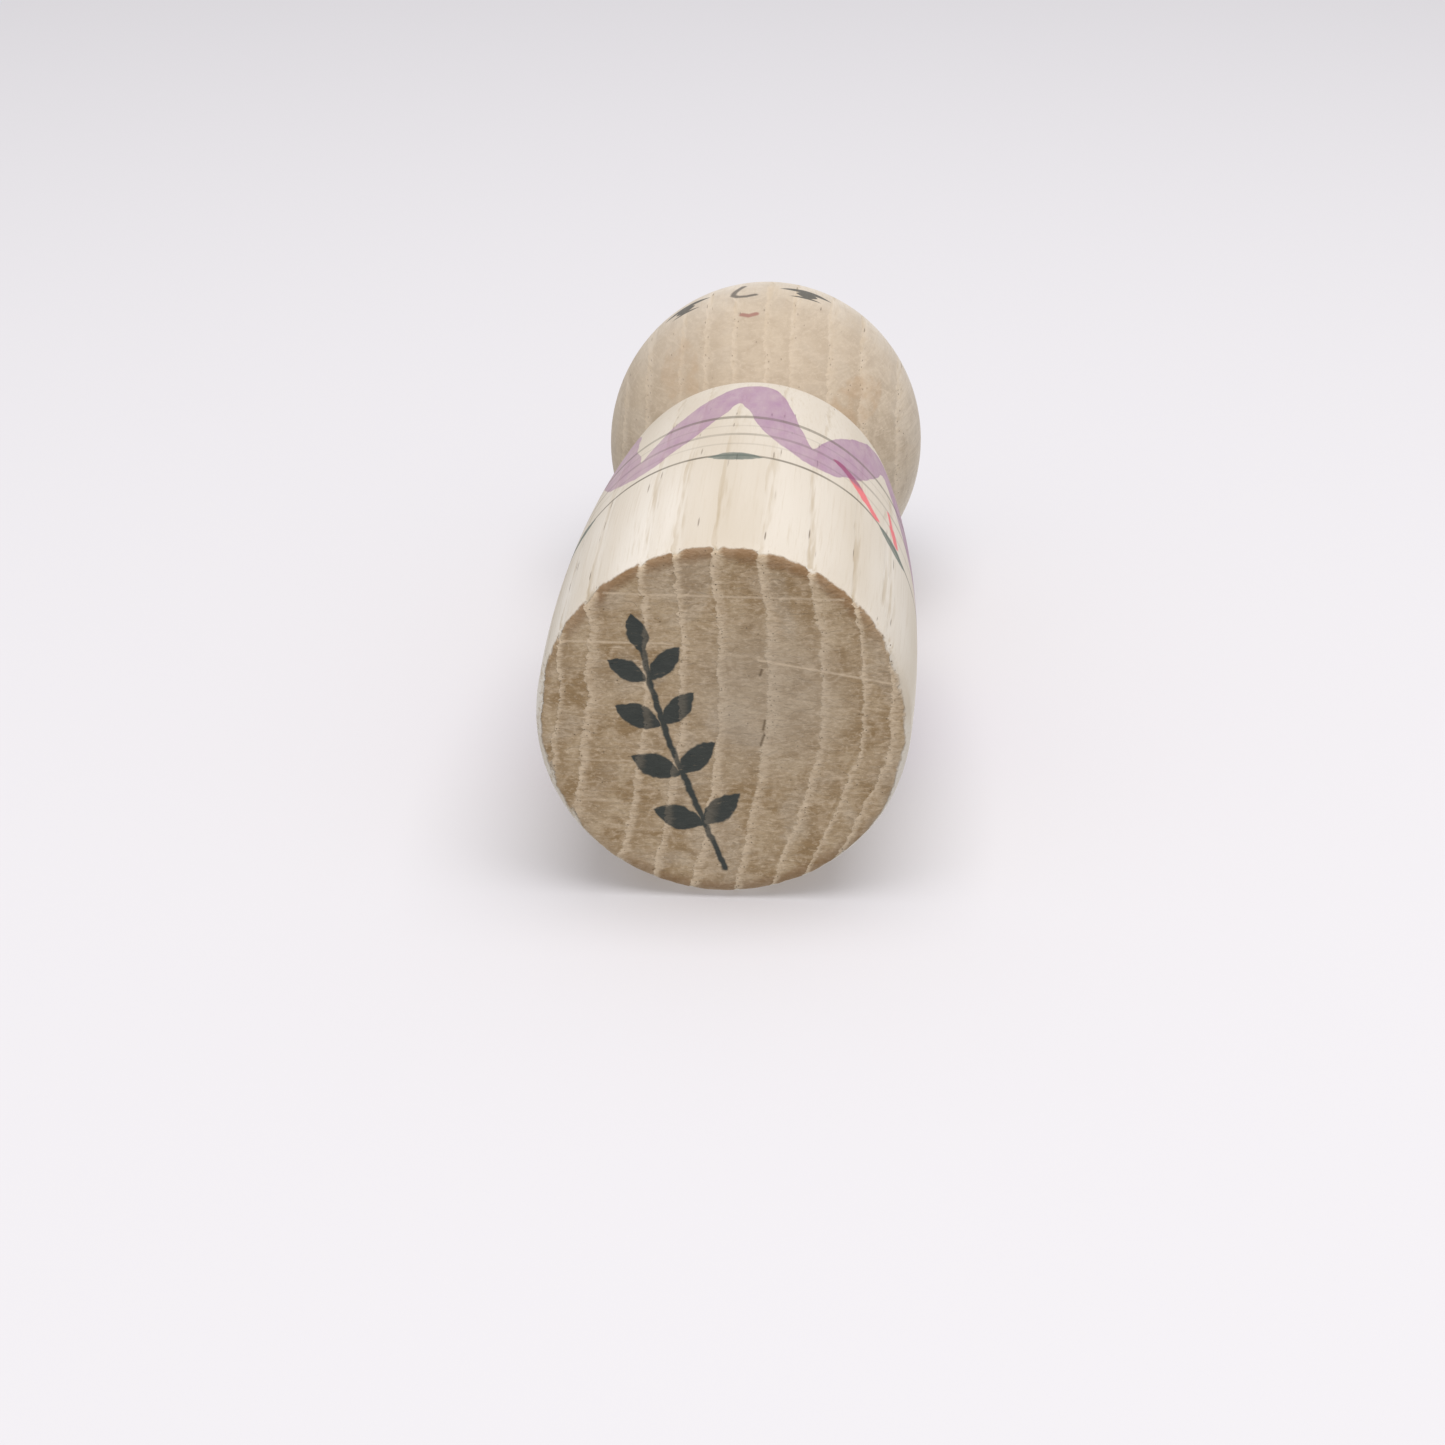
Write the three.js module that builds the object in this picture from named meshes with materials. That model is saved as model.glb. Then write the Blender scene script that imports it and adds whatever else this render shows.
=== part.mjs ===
// A turned kokeshi doll in three pieces: a barrel body, an oval head, and the hidden neck dowel
// that is fixed in the head and turns in the body. Millimetres, +Z up, the face looks along -Y,
// and the origin is the middle of the foot.

import * as THREE from 'three';

// Driving dimensions
const SIDES = 72; // flats round a turned piece; a multiple of 12, so a twelfth of a turn repeats them
const BELLY_RADIUS = 20.5; // the body where it is widest
const BELLY_HEIGHT = 20; // how high above the foot that is
const SIDE_ARC_RADIUS = 345; // the long, nearly straight arc of the body's side
const FOOT_EDGE = 0.9; // the broken edge round the foot
const SHOULDER_HEIGHT = 65; // where the side turns over into the shoulder
const SHOULDER_RADIUS = 10; // radius of that round
const HEAD_RADIUS = 20.65;
const HEAD_HALF_HEIGHT = 24.8;
const HEAD_SEAT_RADIUS = 8.6; // the flat under the head
const NECK_GAP = 0.3; // between the body's top and that flat
const DOWEL_RADIUS = 4;
const DOWEL_DEPTH = 15.5; // how far the dowel reaches into the body, and into the head
const DOWEL_PLAY = 0.08; // radial clearance round the dowel
const END_GAP = 0.3; // between each end of the dowel and the bottom of its hole
const SMALL_EDGE = 0.6; // chamfers on the dowel's ends and round the two holes

// Steps along the curved stretches
const SIDE_STEPS = 14;
const SHOULDER_STEPS = 9;
const HEAD_STEPS = 26;

const SIDE_CENTRE_RADIUS = BELLY_RADIUS - SIDE_ARC_RADIUS;
const HOLE_RADIUS = DOWEL_RADIUS + DOWEL_PLAY;
const HOLE_DEPTH = DOWEL_DEPTH + END_GAP;

// The angle, seen from the middle of the side's long arc, of a point on the side at this height
const sideAngle = (height) => Math.asin((height - BELLY_HEIGHT) / SIDE_ARC_RADIUS);
const sideRadius = (height) => SIDE_CENTRE_RADIUS + SIDE_ARC_RADIUS * Math.cos(sideAngle(height));

// The shoulder's round is tangent to the side, and its top is the level top of the neck
const shoulderAngle = sideAngle(SHOULDER_HEIGHT);
const shoulderCentre = new THREE.Vector2(
  sideRadius(SHOULDER_HEIGHT) - SHOULDER_RADIUS * Math.cos(shoulderAngle),
  SHOULDER_HEIGHT - SHOULDER_RADIUS * Math.sin(shoulderAngle),
);
const BODY_TOP = shoulderCentre.y + SHOULDER_RADIUS;
const HEAD_SEAT = BODY_TOP + NECK_GAP;

// How far the head's widest line is above the flat under it
const seatAngle = -Math.acos(HEAD_SEAT_RADIUS / HEAD_RADIUS);
const SEAT_TO_MIDDLE = -HEAD_HALF_HEIGHT * Math.sin(seatAngle);

const bodyWood = new THREE.MeshStandardMaterial({ color: 0xdccdb2, roughness: 0.62, metalness: 0 });
const headWood = new THREE.MeshStandardMaterial({ color: 0xd0bd9d, roughness: 0.6, metalness: 0 });
const dowelWood = new THREE.MeshStandardMaterial({ color: 0xc9b28a, roughness: 0.7, metalness: 0 });

const point = (radius, height) => new THREE.Vector2(radius, height);

function arc(centre, radiusAcross, radiusUp, start, end, steps) {
  return new THREE.EllipseCurve(centre.x, centre.y, radiusAcross, radiusUp, start, end).getPoints(steps);
}

// Spins a profile of (radius, height) points, which starts and ends on the axis, about +Z
function turned(name, profile, material) {
  const geometry = new THREE.LatheGeometry(profile, SIDES).rotateX(Math.PI / 2);
  const mesh = new THREE.Mesh(geometry, material);
  mesh.name = name;
  return mesh;
}

function makeBody() {
  const sideCentre = point(SIDE_CENTRE_RADIUS, BELLY_HEIGHT);
  const side = arc(
    sideCentre, SIDE_ARC_RADIUS, SIDE_ARC_RADIUS, sideAngle(FOOT_EDGE), shoulderAngle, SIDE_STEPS,
  );
  const shoulder = arc(
    shoulderCentre, SHOULDER_RADIUS, SHOULDER_RADIUS, shoulderAngle, Math.PI / 2, SHOULDER_STEPS,
  );
  const profile = [
    point(0, 0),
    point(sideRadius(0) - FOOT_EDGE, 0),
    ...side,
    ...shoulder.slice(1),
    point(HOLE_RADIUS + SMALL_EDGE, BODY_TOP),
    point(HOLE_RADIUS, BODY_TOP - SMALL_EDGE),
    point(HOLE_RADIUS, BODY_TOP - HOLE_DEPTH),
    point(0, BODY_TOP - HOLE_DEPTH),
  ];
  return turned('body', profile, bodyWood);
}

// Heights here are counted from the flat under the head
function makeHead() {
  const outside = arc(
    point(0, SEAT_TO_MIDDLE), HEAD_RADIUS, HEAD_HALF_HEIGHT, seatAngle, Math.PI / 2, HEAD_STEPS,
  );
  const crown = outside.pop();
  const profile = [
    point(0, HOLE_DEPTH),
    point(HOLE_RADIUS, HOLE_DEPTH),
    point(HOLE_RADIUS, SMALL_EDGE),
    point(HOLE_RADIUS + SMALL_EDGE, 0),
    ...outside,
    point(0, crown.y),
  ];
  return turned('head', profile, headWood);
}

// The dowel's own base is at height 0
function makeDowel() {
  const length = 2 * DOWEL_DEPTH + NECK_GAP;
  const profile = [
    point(0, 0),
    point(DOWEL_RADIUS - SMALL_EDGE, 0),
    point(DOWEL_RADIUS, SMALL_EDGE),
    point(DOWEL_RADIUS, length - SMALL_EDGE),
    point(DOWEL_RADIUS - SMALL_EDGE, length),
    point(0, length),
  ];
  return turned('neck_dowel', profile, dowelWood);
}

// The head and its dowel turn together about +Z, so they share a group at the neck
const turningHead = new THREE.Group();
turningHead.position.z = HEAD_SEAT;
const dowel = makeDowel();
dowel.position.z = -NECK_GAP - DOWEL_DEPTH;
turningHead.add(makeHead(), dowel);

const doll = new THREE.Group();
doll.add(makeBody(), turningHead);

export default doll;
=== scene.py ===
import math

import bmesh
import bpy
from mathutils import Matrix, Vector, noise


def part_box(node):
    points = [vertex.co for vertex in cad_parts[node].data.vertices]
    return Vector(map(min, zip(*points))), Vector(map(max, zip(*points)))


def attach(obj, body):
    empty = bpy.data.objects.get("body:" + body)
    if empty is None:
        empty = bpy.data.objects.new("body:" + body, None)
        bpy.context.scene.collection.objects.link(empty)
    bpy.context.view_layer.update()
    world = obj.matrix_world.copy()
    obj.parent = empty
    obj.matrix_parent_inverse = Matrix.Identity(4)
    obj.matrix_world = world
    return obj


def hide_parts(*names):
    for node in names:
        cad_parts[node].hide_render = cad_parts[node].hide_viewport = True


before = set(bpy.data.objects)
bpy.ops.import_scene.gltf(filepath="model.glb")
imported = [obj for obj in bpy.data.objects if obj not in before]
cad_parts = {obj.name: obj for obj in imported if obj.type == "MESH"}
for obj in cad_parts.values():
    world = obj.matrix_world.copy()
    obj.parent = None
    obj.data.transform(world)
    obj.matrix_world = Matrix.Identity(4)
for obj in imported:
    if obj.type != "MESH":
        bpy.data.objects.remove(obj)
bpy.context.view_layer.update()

MM = 0.001

# The turned pieces, from the frame. Lengths are in metres.
_, body_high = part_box("body")
head_low, head_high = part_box("head")
dowel_low, dowel_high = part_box("neck_dowel")
belly_radius = body_high.x
body_top = body_high.z
head_radius = head_high.x
head_seat = head_low.z
crown_height = head_high.z
dowel_radius = dowel_high.x

BELLY_HEIGHT = 20 * MM
SIDE_ARC_RADIUS = 345 * MM
SHOULDER_HEIGHT = 65 * MM
SHOULDER_RADIUS = 10 * MM
FOOT_EDGE = 0.9 * MM
HEAD_SEAT_RADIUS = 8.6 * MM
SMALL_EDGE = 0.6 * MM
HOLE_PLAY = 0.08 * MM
HOLE_END_GAP = 0.3 * MM
hole_radius = dowel_radius + HOLE_PLAY
body_hole_floor = dowel_low.z - HOLE_END_GAP
head_hole_roof = dowel_high.z + HOLE_END_GAP

# The head is an oval cut flat below: its half height follows from the cut and the full height
seat_share = math.sqrt(1 - (HEAD_SEAT_RADIUS / head_radius) ** 2)
head_half_height = (crown_height - head_seat) / (1 + seat_share)
head_middle = crown_height - head_half_height

# The doll lies on its back, and the camera looks at it from below its foot and a little in front
LENS_MM = 79.7
SENSOR_MM = 36
VIEW_DISTANCE = 338.5 * MM
VIEW_AZIMUTH = 14.6
VIEW_ELEVATION = -66.6
VIEW_ROLL = 8.7
AIM_LIFT = 0.2 * MM
TABLE_AZIMUTH = 6.5

# The middle of the face, the first wave's crest and the waves' spacing, in degrees round from
# the front towards the doll's left
FACE_AZIMUTH = -1.6
WAVE_AZIMUTH = 3.5
WAVE_SPACING = 60


def tint(red, green, blue):
    """A colour given as a paint chart gives it, 0 to 255, as the light that it reflects."""
    def light(value):
        share = value / 255
        if share <= 0.04045:
            return share / 12.92
        return ((share + 0.055) / 1.055) ** 2.4
    return (light(red), light(green), light(blue), 1.0)


# ---------------------------------------------------------------- turning the pieces

# Steps round a piece, and along each stretch of a profile
TURN_STEPS = 288
FOOT_STEPS = 40
EDGE_STEPS = 6
SIDE_STEPS = 80
SHOULDER_STEPS = 18
RIM_STEPS = 3
HOLE_STEPS = 6
HEAD_STEPS = 110

# The wear round the foot: how far up and how far in it reaches, how far it takes to grow, and
# how deep it goes
WEAR_HEIGHT = 2.2 * MM
WEAR_WIDTH = 1.6 * MM
WEAR_FADE = 0.8 * MM
WEAR_DEPTH = 0.22 * MM

GOUGE_RING_WIDTH = 1.1 * MM
GOUGE_RING_DEPTH = 0.02 * MM


def arc(middle_radius, middle_height, across, up, start, end, steps):
    """Points of an oval arc, as (radius, height), with both of its ends."""
    points = []
    for i in range(steps + 1):
        angle = start + (end - start) * i / steps
        points.append((
            middle_radius + across * math.cos(angle),
            middle_height + up * math.sin(angle),
        ))
    return points


def straight(start, end, steps):
    """Points of a straight run after its start, with its end."""
    return [
        (start[0] + (end[0] - start[0]) * i / steps, start[1] + (end[1] - start[1]) * i / steps)
        for i in range(1, steps + 1)
    ]


def turn_piece(name, profile, node, body):
    """Spins a profile of (radius, height) about the doll's axis into one closed piece."""
    work = bmesh.new()
    corners = [work.verts.new((radius, 0, height)) for radius, height in profile]
    edges = [work.edges.new(pair) for pair in zip(corners, corners[1:])]
    bmesh.ops.spin(
        work,
        geom=corners + edges,
        cent=(0, 0, 0),
        axis=(0, 0, 1),
        angle=2 * math.pi,
        steps=TURN_STEPS,
        use_merge=True,
    )
    bmesh.ops.remove_doubles(work, verts=work.verts, dist=0.001 * MM)
    bmesh.ops.recalc_face_normals(work, faces=work.faces)
    mesh = bpy.data.meshes.new(name)
    work.to_mesh(mesh)
    work.free()
    mesh.shade_smooth()
    piece = bpy.data.objects.new(name, mesh)
    bpy.context.collection.objects.link(piece)
    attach(piece, body)
    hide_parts(node)
    return piece


def side_angle(height):
    return math.asin((height - BELLY_HEIGHT) / SIDE_ARC_RADIUS)


def side_radius(height):
    return belly_radius - SIDE_ARC_RADIUS * (1 - math.cos(side_angle(height)))


def body_profile():
    """From the middle of the foot, up the side, over the shoulder and down into the hole."""
    edge_lean = 0.1 * MM
    edge_middle = side_radius(0) - FOOT_EDGE - edge_lean
    edge_round = arc(
        edge_middle, FOOT_EDGE, FOOT_EDGE + edge_lean, FOOT_EDGE, -math.pi / 2, 0, EDGE_STEPS,
    )
    shoulder_start = side_angle(SHOULDER_HEIGHT)
    side = arc(
        belly_radius - SIDE_ARC_RADIUS, BELLY_HEIGHT, SIDE_ARC_RADIUS, SIDE_ARC_RADIUS,
        side_angle(FOOT_EDGE), shoulder_start, SIDE_STEPS,
    )
    shoulder = arc(
        side_radius(SHOULDER_HEIGHT) - SHOULDER_RADIUS * math.cos(shoulder_start),
        body_top - SHOULDER_RADIUS, SHOULDER_RADIUS, SHOULDER_RADIUS,
        shoulder_start, math.pi / 2, SHOULDER_STEPS,
    )
    foot = [(0, 0)] + straight((0, 0), edge_round[0], FOOT_STEPS)
    rim = (hole_radius + SMALL_EDGE, body_top)
    mouth = (hole_radius, body_top - SMALL_EDGE)
    floor = (hole_radius, body_hole_floor)
    neck = straight(shoulder[-1], rim, RIM_STEPS)
    hole = [mouth] + straight(mouth, floor, HOLE_STEPS) + [(0, body_hole_floor)]
    return foot + edge_round[1:-1] + side + shoulder[1:] + neck + hole


def head_profile():
    """From the roof of the hole, down to the flat under the head, and round the outside."""
    seat = -math.acos(HEAD_SEAT_RADIUS / head_radius)
    outside = arc(0, head_middle, head_radius, head_half_height, seat, math.pi / 2, HEAD_STEPS)
    outside[-1] = (0, crown_height)
    roof = (hole_radius, head_hole_roof)
    mouth = (hole_radius, head_seat + SMALL_EDGE)
    rim = (hole_radius + SMALL_EDGE, head_seat)
    hole = [(0, head_hole_roof), roof] + straight(roof, mouth, HOLE_STEPS) + [rim]
    return hole + straight(rim, outside[0], RIM_STEPS) + outside[1:]


def wear_the_foot_edge(piece):
    """Takes a little off the edge round the foot, more in some places than in others."""
    unworn_radius = side_radius(0) - WEAR_WIDTH
    for corner in piece.data.vertices:
        place = corner.co
        radius = math.hypot(place.x, place.y)
        outward = radius - unworn_radius
        if place.z > WEAR_HEIGHT or outward <= 0:
            continue
        share = (1 - place.z / WEAR_HEIGHT) * min(1, outward / WEAR_FADE)
        direction = Vector((place.x, place.y, 0)) / radius
        bite = 0.5 + 0.5 * noise.noise(direction * 3.1) + 0.3 * noise.noise(direction * 14)
        amount = WEAR_DEPTH * max(0, bite) * share
        corner.co -= direction * amount
        corner.co.z += 0.25 * amount


def leave_gouge_rings(piece, low, high):
    """Leaves the faint rings of a turning gouge between two heights."""
    for corner in piece.data.vertices:
        radius = math.hypot(corner.co.x, corner.co.y)
        if low < corner.co.z < high and radius > hole_radius + SMALL_EDGE:
            ring = 0.5 + 0.5 * noise.noise(Vector((0, 0, corner.co.z / GOUGE_RING_WIDTH)))
            keep = 1 - GOUGE_RING_DEPTH * ring / radius
            corner.co.x *= keep
            corner.co.y *= keep


# ---------------------------------------------------------------- mixing the finishes

FACTOR, FIRST, SECOND, RESULT = 0, 6, 7, 2  # the colour sockets of a Mix node


class Finish:
    """A finish and the steps that mix it. Every length in it is in millimetres."""

    def __init__(self, name):
        self.material = bpy.data.materials.new(name)
        self.material.use_nodes = True
        self.tree = self.material.node_tree
        self.shader = self.tree.nodes["Principled BSDF"]
        coordinates = self.add("ShaderNodeTexCoord")
        self.place = self.turned(coordinates.outputs["Object"], 0, (1 / MM, 1 / MM, 1 / MM))
        self.x, self.y, self.height = self.parts(self.place)
        flipped = self.calc("MULTIPLY", self.y, -1)
        self.azimuth = self.calc("DEGREES", self.calc("ARCTAN2", self.x, flipped))
        self.radius = self.length(self.x, self.y)

    def add(self, kind, **settings):
        node = self.tree.nodes.new(kind)
        for key, value in settings.items():
            setattr(node, key, value)
        return node

    def feed(self, socket, value):
        """Links a socket, or sets it if the value is a plain number or colour."""
        if isinstance(value, bpy.types.NodeSocket):
            self.tree.links.new(value, socket)
        else:
            socket.default_value = value

    def calc(self, operation, first, second=None, third=None):
        node = self.add("ShaderNodeMath", operation=operation)
        for socket, value in zip(node.inputs, (first, second, third)):
            if value is not None:
                self.feed(socket, value)
        return node.outputs[0]

    def gather(self, operation, values):
        """One operation over all the values, from the first to the last."""
        result = values[0]
        for value in values[1:]:
            result = self.calc(operation, result, value)
        return result

    def product(self, *values):
        return self.gather("MULTIPLY", values)

    def total(self, *values):
        return self.gather("ADD", values)

    def highest(self, *values):
        return self.gather("MAXIMUM", values)

    def rest(self, share):
        """What a share leaves of 1."""
        return self.calc("SUBTRACT", 1, share)

    def length(self, across, up):
        squares = self.calc("ADD", self.calc("POWER", across, 2), self.calc("POWER", up, 2))
        return self.calc("SQRT", squares)

    def off(self, value, middle):
        """How far a value is from a middle, either way."""
        return self.calc("ABSOLUTE", self.calc("SUBTRACT", value, middle))

    def fade(self, value, start, end):
        """0 where the value is at start, 1 where it is at end, and smooth between."""
        node = self.add("ShaderNodeMapRange", interpolation_type="SMOOTHSTEP")
        self.feed(node.inputs["Value"], value)
        self.feed(node.inputs["From Min"], start)
        self.feed(node.inputs["From Max"], end)
        return node.outputs[0]

    def inside(self, value, low, high, soft):
        """1 between low and high, fading out over soft at each."""
        rise = self.fade(value, low - soft, low + soft)
        fall = self.fade(value, high + soft, high - soft)
        return self.calc("MULTIPLY", rise, fall)

    def parts(self, vector):
        """The three numbers of a place or colour."""
        split = self.add("ShaderNodeSeparateXYZ")
        self.feed(split.inputs[0], vector)
        return split.outputs

    def flat(self, right, up):
        """A flat drawing surface, measured to the right and up."""
        node = self.add("ShaderNodeCombineXYZ")
        self.feed(node.inputs[0], right)
        self.feed(node.inputs[1], up)
        return node.outputs[0]

    def turned(self, vector, degrees, scale=(1, 1, 1), shift=(0, 0, 0)):
        """A place scaled, then turned about the doll's axis, then shifted."""
        node = self.add("ShaderNodeMapping")
        self.feed(node.inputs["Vector"], vector)
        node.inputs["Location"].default_value = shift
        node.inputs["Rotation"].default_value = (0, 0, math.radians(degrees))
        node.inputs["Scale"].default_value = scale
        return node.outputs[0]

    def cloud(self, vector, scale, detail=2.0, roughness=0.5, distortion=0.0):
        """Soft noise from 0 to 1, with scale features to a millimetre."""
        node = self.add("ShaderNodeTexNoise")
        self.feed(node.inputs["Vector"], vector)
        node.inputs["Scale"].default_value = scale
        node.inputs["Detail"].default_value = detail
        node.inputs["Roughness"].default_value = roughness
        node.inputs["Distortion"].default_value = distortion
        return node.outputs["Fac"]

    def cells(self, vector, scale):
        """Scattered points: the distance to the nearest, and numbers from 0 to 1 that go with it."""
        node = self.add("ShaderNodeTexVoronoi")
        self.feed(node.inputs["Vector"], vector)
        node.inputs["Scale"].default_value = scale
        return node.outputs["Distance"], self.parts(node.outputs["Color"])

    def around(self, value, amount):
        """Noise from 0 to 1 made to run from minus amount to plus amount."""
        return self.calc("MULTIPLY", self.calc("SUBTRACT", value, 0.5), 2 * amount)

    def curve(self, value, points, straight_runs=False):
        """Follows a line through (value, result) points, level past both of its ends."""
        values, results = zip(*points)
        low, high = min(results), max(results)
        reach = self.add("ShaderNodeMapRange")
        self.feed(reach.inputs["Value"], value)
        reach.inputs["From Min"].default_value = values[0]
        reach.inputs["From Max"].default_value = values[-1]
        node = self.add("ShaderNodeFloatCurve")
        line = node.mapping.curves[0]
        for i, (at, result) in enumerate(points):
            spot = ((at - values[0]) / (values[-1] - values[0]), (result - low) / (high - low))
            if i in (0, len(points) - 1):
                line.points[0 if i == 0 else -1].location = spot
            else:
                line.points.new(*spot)
        for knot in line.points:
            knot.handle_type = "VECTOR" if straight_runs else "AUTO"
        node.mapping.update()
        self.feed(node.inputs["Value"], reach.outputs[0])
        return self.calc("MULTIPLY_ADD", node.outputs[0], high - low, low)

    def leaf(self, drawing, middle, degrees, half_length, half_width):
        """1 inside a leaf with two pointed ends, lying at an angle on a flat drawing."""
        node = self.add("ShaderNodeMapping", vector_type="TEXTURE")
        self.feed(node.inputs["Vector"], drawing)
        node.inputs["Location"].default_value = (*middle, 0)
        node.inputs["Rotation"].default_value = (0, 0, math.radians(degrees))
        node.inputs["Scale"].default_value = (half_length, half_width, 1)
        along, across, _ = self.parts(node.outputs[0])
        width_left = self.rest(self.calc("POWER", along, 2))
        depth = self.calc("SUBTRACT", width_left, self.calc("ABSOLUTE", across))
        return self.fade(depth, -0.08, 0.12)

    def stroke(self, drawing, start, end, half_width, soft):
        """1 inside a straight stroke with round ends on a flat drawing."""
        run, rise = end[0] - start[0], end[1] - start[1]
        node = self.add("ShaderNodeMapping", vector_type="TEXTURE")
        self.feed(node.inputs["Vector"], drawing)
        middle = ((start[0] + end[0]) / 2, (start[1] + end[1]) / 2)
        node.inputs["Location"].default_value = (*middle, 0)
        node.inputs["Rotation"].default_value = (0, 0, math.atan2(rise, run))
        along, across, _ = self.parts(node.outputs[0])
        past = self.calc("SUBTRACT", self.calc("ABSOLUTE", along), math.hypot(run, rise) / 2)
        away = self.length(self.calc("MAXIMUM", past, 0), across)
        return self.fade(away, half_width + soft, half_width - soft)

    def strokes(self, drawing, points, half_width, soft):
        """1 inside a stroke through several points."""
        return self.highest(*[
            self.stroke(drawing, start, end, half_width, soft)
            for start, end in zip(points, points[1:])
        ])

    def shaken(self, drawing, scale, amount):
        """A flat drawing moved a little either way, as by an unsteady hand."""
        ripples = self.add("ShaderNodeTexNoise")
        self.feed(ripples.inputs["Vector"], self.place)
        ripples.inputs["Scale"].default_value = scale
        moved = self.add("ShaderNodeVectorMath", operation="MULTIPLY_ADD")
        self.feed(moved.inputs[0], ripples.outputs["Color"])
        moved.inputs[1].default_value = (2 * amount, 2 * amount, 0)
        self.feed(moved.inputs[2], self.turned(drawing, 0, shift=(-amount, -amount, 0)))
        return moved.outputs[0]

    def blend(self, amount, first, second, method="MIX"):
        node = self.add("ShaderNodeMix", data_type="RGBA", blend_type=method)
        self.feed(node.inputs[FACTOR], amount)
        self.feed(node.inputs[FIRST], first)
        self.feed(node.inputs[SECOND], second)
        return node.outputs[RESULT]

    def coat(self, under, paint, *shares, method="MIX"):
        """A colour with paint over it, as strong as the product of the shares."""
        return self.blend(self.product(*shares), under, paint, method)

    def finish(self, colour, roughness, relief):
        """Relief is in millimetres, outwards."""
        self.feed(self.shader.inputs["Base Color"], colour)
        self.feed(self.shader.inputs["Roughness"], roughness)
        bump = self.add("ShaderNodeBump")
        bump.inputs["Distance"].default_value = MM
        self.feed(bump.inputs["Height"], relief)
        self.feed(self.shader.inputs["Normal"], bump.outputs[0])
        return self.material


# ---------------------------------------------------------------- the wood

SIDE_PALE = tint(227, 219, 208)
SIDE_TAN = tint(203, 190, 171)
SIDE_STREAK = tint(176, 156, 124)
PORE_BROWN = tint(108, 88, 62)
END_PALE = tint(216, 194, 166)
END_MIDDLE = tint(188, 165, 134)
END_DARK = tint(150, 122, 85)
END_GREY = tint(184, 168, 148)

# Where each year begins, in mm across the billet, and how the rings bend: the height of their
# bend, how that shifts across, how sharp it is, and how that grows towards the right
BODY_YEARS = (-26.5, -22.5, -18.7, -16.9, -13.9, -8.1, -4.3, -0.2, 5.0, 10.7, 15.0, 17.9, 22, 27)
BODY_BEND = (7.3, -0.31, 0.005, 0.001)
HEAD_YEARS = (-27, -22, -18, -14.5, -10, -6.8, -3.2, 1, 4.3, 8.8, 13, 17.5, 22, 27)
HEAD_BEND = (2.0, 0.1, 0.003, 0.0)

# How far each billet is turned about the axis, in degrees, and a number that sets its fibres apart
BODY_BILLET = (-5, 3)
HEAD_BILLET = (-6, 11)
DOWEL_BILLET = (60, 17)

GRAIN_RELIEF = 0.02
PORE_DEPTH = 0.06


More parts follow.
